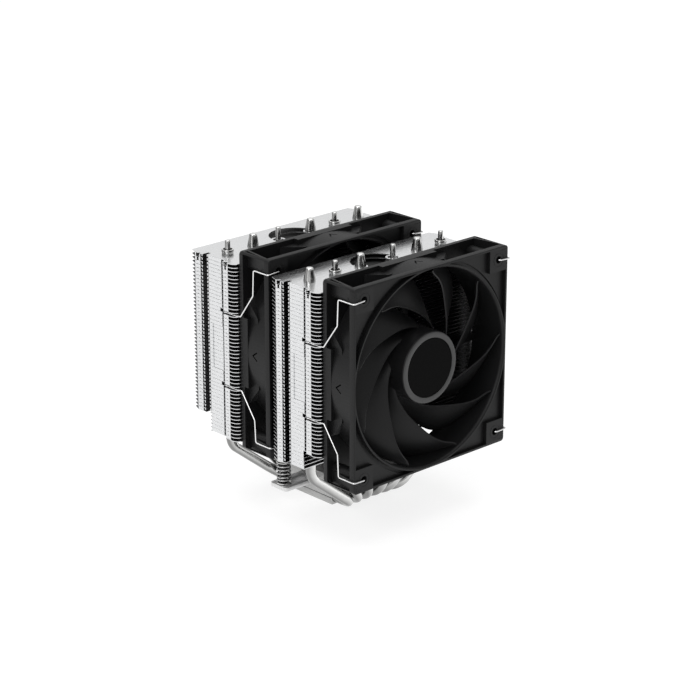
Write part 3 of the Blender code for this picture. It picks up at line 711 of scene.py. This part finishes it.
def chevron_mesh():
    """A small arrow head pressed into the middle of each side, pointing to the rear."""
    outline = [(0, 15.1), (-2.9, 11.1), (-2.3, 10.6), (0, 13.8), (2.3, 10.6), (2.9, 11.1)]
    flat = plate_mesh([[(x * MM, y * MM) for x, y in outline]], 1.0 * MM)

    def build(work):
        for turn in range(4):
            round_side = Matrix.Rotation(math.pi / 2 * turn, 4, "Y")
            stamp(work, flat, round_side @ Matrix.Translation((0, 0, 60 * MM)))
    return mesh_from(build)


def frame_mesh():
    corner = 2.0
    outline = []
    for turn, (a, b) in enumerate(((1, 1), (-1, 1), (-1, -1), (1, -1))):
        outline += arc((a * (HALF - corner), b * (HALF - corner)), corner, 90 * turn, 90 * turn + 90, 5)
    body = plate_mesh([[(x * MM, y * MM) for x, y in outline]], DEPTH * MM, bevel=0.2 * MM)
    body.transform(Matrix.Translation((0, DEPTH / 2 * MM, 0)) @ Matrix.Rotation(math.radians(-90), 4, "X"))

    spots = [(a * HOLE, b * HOLE) for a in (-1, 1) for b in (-1, 1)]
    # Pockets between the flanges, outside the barrel, with posts round the holes and webs at the corners.
    webs, edges = [], []
    for a in (-1, 1):
        for b in (-1, 1):
            xs, zs = sorted((a * 58.2, a * 59.9)), sorted((b * 58.8, b * 63.0))
            edges.append(((xs[0], -1, zs[0]), (xs[1], DEPTH, zs[1])))
            plan = [(59.0, 3.0), (56.2, 22.6), (54.8, 22.6), (57.6, 3.0)]
            web = plate_mesh([[(a * x * MM, y * MM) for x, y in plan]], 10.6 * MM)
            web.transform(Matrix.Translation((0, 0, b * 57.7 * MM)))
            webs.append(("DIFFERENCE", web))
    humps = []
    for turn in range(4):
        # A flush pad at the rear of each side's middle, on a lower gusset.
        for outline, top in ((((-21, 23.2), (-21, 18.6), (21.1, 18.6), (21.1, 23.2)), 64),
                             (((-33, 23), (-21.5, 13), (21.6, 13), (33.1, 23)), 57)):
            hump = plate_mesh([[(x * MM, y * MM) for x, y in outline]], (top - 49) * MM)
            round_side = Matrix.Rotation(math.pi / 2 * turn, 4, "Y")
            hump.transform(round_side @ Matrix.Translation((0, 0, (top + 49) / 2 * MM)))
            humps.append(("DIFFERENCE", hump))
    pockets = carve(fan_box(((-62, 3.66, -62), (62, 22.0, 62))),
                    ("DIFFERENCE", fan_rod(162, ((0, -1, 0), 27, BARREL))),
                    ("DIFFERENCE", fan_rod(30, *[((x, -1, z), 27, 3.8) for x, z in spots])),
                    ("DIFFERENCE", fan_box(*edges)), *webs, *humps)
    # The front web lies back from the rim, the corner pads and the barrel's lip.
    lip = fan_rod(162, ((0, -2, 0), 27, BARREL))
    pads = []
    for x, z in spots:
        xs, zs = sorted((math.copysign(PAD, x), x * 1.3)), sorted((math.copysign(PAD, z), z * 1.3))
        pads.append(((xs[0], -2, zs[0]), (xs[1], 4, zs[1])))
    recess = carve(fan_box(((-RIM, -1, -RIM), (RIM, 2.4, RIM))), ("DIFFERENCE", fan_box(*pads)),
                   ("DIFFERENCE", lip))
    moat = carve(fan_box(((-RIM, -1, -RIM), (RIM, 3.3, RIM))),
                 ("INTERSECT", fan_rod(162, ((0, -2, 0), 10, 62.0))), ("DIFFERENCE", lip))
    bore = fan_rod(150, ((0, -1, 0), 27, 59.0))
    rings = carve(fan_rod(42, *[((x, -1, z), 1.14, 4.05) for x, z in spots]),
                  ("DIFFERENCE", fan_rod(42, *[((x, -2, z), 4, 3.8) for x, z in spots])))
    dots = [(x * a, z * b) for x, z in ((58.2, 58.0), (56.7, 58.0), (55.2, 58.0), (58.2, 56.5), (58.2, 55.0))
            for a in (-1, 1) for b in (-1, 1)]
    dimples = fan_rod(10, *[((x, -1, z), 1.16, 0.32) for x, z in dots])

    holes = fan_rod(30, *[((x, -1, z), 27, 2.15) for x, z in spots])
    square = carve(body, ("DIFFERENCE", pockets), ("DIFFERENCE", recess), ("DIFFERENCE", moat),
                   ("DIFFERENCE", bore), ("DIFFERENCE", rings), ("DIFFERENCE", dimples),
                   ("DIFFERENCE", holes), ("DIFFERENCE", chevron_mesh()))
    # The barrel with its rounded lip, and the four struts that hold the motor's seat and bearing tube.
    barrel = [(BORE, 24.95), (BORE, 2.4), (58.1, 1.5), (58.4, 0.8), (58.9, 0.25), (59.3, 0.03), (59.6, 0.08),
              (59.85, 0.4), (BARREL, 1.0), (BARREL, 24.8), (59.75, 24.95)]
    barrel = turned_mesh([(r * MM, h * MM) for r, h in barrel], 180, "Y", closed=True)
    barrel = carve(barrel, ("DIFFERENCE", chevron_mesh()))
    struts = fan_box(((-58.9, 22.0, -2), (58.9, 24.9, 2)), ((-2.1, 22.1, -58.9), (2.1, 24.85, 58.9)))
    seat = fan_rod(66, ((0, 22.15, 0), 2.8, 20.5))
    tube = carve(fan_rod(30, ((0, 8, 0), 16, 4.3)), ("DIFFERENCE", fan_rod(30, ((0, 7, 0), 15.2, 3.3))))

    def build(work):
        for solid in (square, barrel, struts, seat, tube):
            work.from_mesh(solid)
    return mesh_from(build)


HUB, TIP = 21.2, 56.9
# The blades aren't quite evenly spaced, which is usual in quiet fans.
BLADE_TURNS = (-80.4, -37.3, -1.3, 37.3, 84.1, 123.6, 162.4, 197.2, 239.4)


def blade_point(out, along, turn):
    """A point of a blade's middle surface, from hub to tip and from the front edge to the rear one."""
    radius = HUB - 0.6 + out * (TIP - HUB + 0.6)
    blunt = 0.055 * (max(0.0, out - 0.9) / 0.1) ** 2  # the leading corner is rounded off
    lead = turn + 3.50 * out - 4.08 * out ** 2 + 2.02 * out ** 3 - blunt
    width = math.radians(33.0 - 14.0 * (1 - out) ** 3) - blunt
    angle = lead - width * along
    front, rear = 11.6 - 9.7 * out - 0.4 * out ** 2, 18.8 - 0.8 * out
    y = front + (rear - front) * along ** (1.0 - 0.25 * out)
    return Vector((-radius * math.sin(angle), y, radius * math.cos(angle)))


def add_blade(work, turn):
    """One swept blade as a closed skin, thin and rounded along its edges."""
    rows, columns = 28, 16
    step = 0.01
    loops = []
    for row in range(rows + 1):
        out = row / rows
        upper, lower = [], []
        for column in range(columns + 1):
            along = column / columns
            point = blade_point(out, along, turn)
            run = blade_point(out, min(1, along + step), turn) - blade_point(out, max(0, along - step), turn)
            rise = blade_point(min(1, out + step), along, turn) - blade_point(max(0, out - step), along, turn)
            across = run.cross(rise).normalized()
            thick = 0.16 + 0.55 * math.sin(math.pi * min(1.0, along * 0.94 + 0.06)) ** 0.5
            upper.append((point + across * thick) * MM)
            lower.append((point - across * thick) * MM)
        loops.append([work.verts.new(point) for point in upper + lower[::-1]])
    count = 2 * columns + 2
    for first, second in zip(loops, loops[1:]):
        for i in range(count):
            j = (i + 1) % count
            work.faces.new((first[i], first[j], second[j], second[i]))
    for loop in (loops[0], loops[-1]):
        for i in range(columns):
            work.faces.new((loop[i], loop[i + 1], loop[count - 2 - i], loop[count - 1 - i]))


def impeller_mesh():
    cup = [(0, 5.6), (1.8, 5.6), (1.8, 7.4), (3.2, 7.4), (3.2, 4.4), (19.5, 4.4), (19.5, 19.4), (19.7, 19.6),
           (21.0, 19.6), (21.2, 19.4), (21.2, 2.7), (21.1, 2.2), (20.8, 1.8), (20.3, 1.55), (19.8, 1.5),
           (17.9, 1.5), (17.6, 1.6), (17.5, 1.8), (17.5, 2.6), (0, 2.6)]
    hub = turned_mesh([(r * MM, h * MM) for r, h in cup], 96, "Y")

    def build(work):
        work.from_mesh(hub)
        for turn in BLADE_TURNS:
            add_blade(work, math.radians(turn))
    return mesh_from(build)


def disc_mesh():
    profile = [(0, 2.3), (17.2, 2.3), (17.2, 1.8), (17.1, 1.7), (0, 1.7)]
    return turned_mesh([(r * MM, h * MM) for r, h in profile], 96, "Y")


def clip_mesh(sign, front_y, centre_z):
    """A spring wire from the fan's corner holes round its side to the slots in the fins."""
    groove_y = 25.3 + 12.1 - 0.4  # how far the wire's upright run is behind the fan's front face
    half = [(52.5, 2.8, 52.5), (52.5, -0.95, 52.5), (60.95, -0.95, 51.9), (60.95, 11.6, 51.9),
            (60.95, 12.3, 36.6), (60.95, 23.4, 21.5), (61.9, 27.0, 21.5), (61.9, groove_y, 21.5),
            (60.2, groove_y, 21.5)]
    # The lower half hooks into the fins one place further down.
    drops = (0, 0, 0.4, 0.4, 2.1, 2.1, 2.1, 2.1, 2.1)
    lower = [(x, y, -z - drop) for (x, y, z), drop in zip(half, drops)]
    corners = [(sign * x * MM, front_y + y * MM, centre_z + z * MM) for x, y, z in half + lower[::-1]]
    return wire_mesh(rounded_path(corners, 1.2 * MM, 6), 0.43 * MM, sides=6)


FRAME_MESH = frame_mesh()
IMPELLER_MESH = impeller_mesh()
DISC_MESH = disc_mesh()
for label in ("front", "rear"):
    prefix = label + "_fan_"
    corner_low, corner_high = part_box(prefix + "frame")
    middle_z = (corner_low.z + corner_high.z) / 2
    spot = (0, corner_low.y, middle_z)
    place(label + "_frame", FRAME_MESH, PLASTIC, "root", "fan_plastic", [prefix + "frame"], spot, sharp=30)
    place(label + "_impeller", IMPELLER_MESH, PLASTIC, label + "_rotor", "fan_plastic",
          [prefix + "impeller"], spot)
    IMPELLER_MESH.materials.append(SHEEN_PLASTIC)
    for face in IMPELLER_MESH.polygons:
        # The flat ring round the hub's disc gets a lighter copy of the plastic, a painted sheen.
        face.material_index = int(face.center.y < 1.7 * MM and 17.4 * MM < face.center.xz.length < 20.9 * MM)
    place(label + "_disc", DISC_MESH, FILM, label + "_rotor", "disc_film", [prefix + "hub_disc"], spot)
    for word, direction in (("left", -1), ("right", 1)):
        clip = "clip_%s_%s" % (label, word)
        mesh = clip_mesh(direction, corner_low.y, middle_z)
        place(clip, mesh, CHROME, clip, "clip_wire", ["fan_" + clip], sharp=60)
    for part, look in (("yoke", BAR_STEEL), ("magnet", MAGNET), ("shaft", SCREW_STEEL),
                       ("shaft_clip", SCREW_STEEL), ("bearing", BRASS), ("stator", COPPER),
                       ("circuit_board", BOARD)):
        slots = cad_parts[prefix + part].data.materials
        slots.clear()
        slots.append(look)


# ------------------------------------------------------------ stage and camera

def floor():
    def build(work):
        bmesh.ops.create_grid(work, x_segments=8, y_segments=8, size=6.0)
    made = bpy.data.objects.new("floor", mesh_from(build))
    SCENE.collection.objects.link(made)
    made.data.materials.append(new_surface("floor_paint", (0.30, 0.30, 0.30), (0.31, 0.31, 0.31),
                                           (0.85, 0.95), grain=40.0))
    shader = shader_of(made.active_material)
    shader.inputs["Emission Color"].default_value = (1, 1, 1, 1)
    shader.inputs["Emission Strength"].default_value = 0.8
    made.location.z = -0.2 * MM


def area_light(name, location, target, size, power):
    light = bpy.data.lights.new(name, "AREA")
    light.shape = "RECTANGLE"
    light.size, light.size_y = size
    light.energy = power
    holder = bpy.data.objects.new(name, light)
    SCENE.collection.objects.link(holder)
    holder.location = location
    aim = Vector(target) - Vector(location)
    holder.rotation_euler = aim.to_track_quat("-Z", "Y").to_euler()


def camera():
    lens = bpy.data.cameras.new("camera")
    lens.lens = 118.85
    lens.sensor_width = 36.0
    holder = bpy.data.objects.new("camera", lens)
    SCENE.collection.objects.link(holder)
    right = Vector((0.73057, -0.68284, 0.0))
    back = Vector((-0.64221, -0.68710, 0.33979))
    up = back.cross(right)
    turn = Matrix((right, up, back)).transposed()
    holder.matrix_world = Matrix.Translation((-0.8641, -0.9373, 0.5472)) @ turn.to_4x4()
    SCENE.camera = holder


floor()
world = bpy.data.worlds.new("studio")
world.use_nodes = True
world.node_tree.nodes["Background"].inputs["Color"].default_value = (1, 1, 1, 1)
world.node_tree.nodes["Background"].inputs["Strength"].default_value = 0.5
SCENE.world = world
CENTRE = (0, 0, 0.08)
area_light("overhead", (0.0, 0.1, 1.3), CENTRE, (1.4, 1.4), 9)
area_light("key", (-1.4, -0.6, 1.0), CENTRE, (0.9, 0.9), 7)
area_light("back", (1.2, 1.3, 0.95), CENTRE, (1.6, 0.7), 1.5)
area_light("left_back", (-1.3, 1.5, 1.1), CENTRE, (0.7, 0.7), 3)
area_light("left_strip", (-1.7, -0.3, 0.35), CENTRE, (0.35, 0.7), 1.2)
camera()
SCENE.view_settings.view_transform = "Standard"
